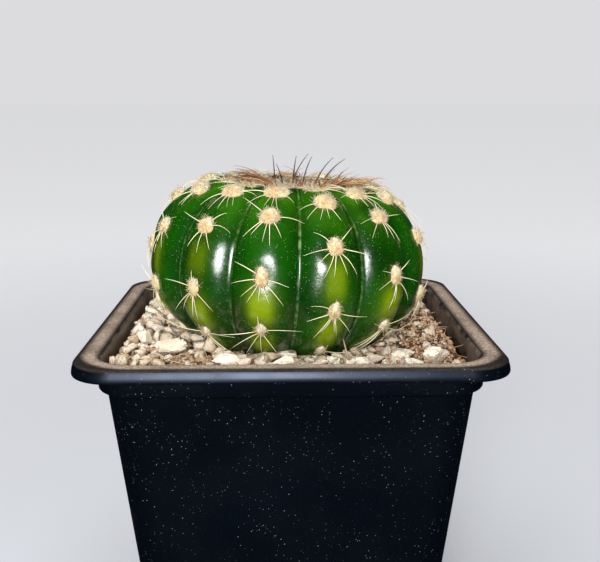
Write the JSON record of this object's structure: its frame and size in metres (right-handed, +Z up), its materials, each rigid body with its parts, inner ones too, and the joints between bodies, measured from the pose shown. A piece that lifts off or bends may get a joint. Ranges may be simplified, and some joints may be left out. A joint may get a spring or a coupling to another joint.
{
  "type": "potted round cactus",
  "caption": "Round, ribbed cactus with woolly areoles and fine spines, in gritty mix in a square black plastic nursery pot.",
  "frame": {"origin": "middle of the pot's base, on the surface that it stands on", "axes": "+Z up, the pot's front side faces -Y, +X to the right seen from the front"},
  "size_m": [0.09, 0.09, 0.1286],
  "materials": {
    "black_plastic": "satin",
    "potting_mix": "matte",
    "pumice": "matte",
    "green_skin": "satin",
    "cream_wool": "matte",
    "brown_spine": "satin"
  },
  "bodies": {
    "root": {"pot": "black_plastic", "potting_mix": "potting_mix", "cactus_stem": "green_skin", "crown_wool": "cream_wool", "areole_01_1": "cream_wool", "areole_01_2": "cream_wool", "areole_01_3": "cream_wool", "areole_02_1": "cream_wool", "areole_02_2": "cream_wool", "areole_02_3": "cream_wool", "areole_03_1": "cream_wool", "areole_03_2": "cream_wool", "areole_03_3": "cream_wool", "areole_04_1": "cream_wool", "areole_04_2": "cream_wool", "areole_04_3": "cream_wool", "areole_05_1": "cream_wool", "areole_05_2": "cream_wool", "areole_05_3": "cream_wool", "areole_06_1": "cream_wool", "areole_06_2": "cream_wool", "areole_06_3": "cream_wool", "areole_07_1": "cream_wool", "areole_07_2": "cream_wool", "areole_07_3": "cream_wool", "areole_08_1": "cream_wool", "areole_08_2": "cream_wool", "areole_08_3": "cream_wool", "areole_09_1": "cream_wool", "areole_09_2": "cream_wool", "areole_09_3": "cream_wool", "areole_10_1": "cream_wool", "areole_10_2": "cream_wool", "areole_10_3": "cream_wool", "areole_11_1": "cream_wool", "areole_11_2": "cream_wool", "areole_11_3": "cream_wool", "areole_12_1": "cream_wool", "areole_12_2": "cream_wool", "areole_12_3": "cream_wool", "areole_13_1": "cream_wool", "areole_13_2": "cream_wool", "areole_13_3": "cream_wool", "crown_spine_1": "brown_spine", "crown_spine_2": "brown_spine", "crown_spine_3": "brown_spine", "crown_spine_4": "brown_spine", "crown_spine_5": "brown_spine", "crown_spine_6": "brown_spine", "crown_spine_7": "brown_spine", "crown_spine_8": "brown_spine", "stone_1": "pumice", "stone_2": "pumice", "stone_3": "pumice", "stone_4": "pumice", "stone_5": "pumice", "stone_6": "pumice", "stone_7": "pumice", "stone_8": "pumice"}
  },
  "joints": []
}
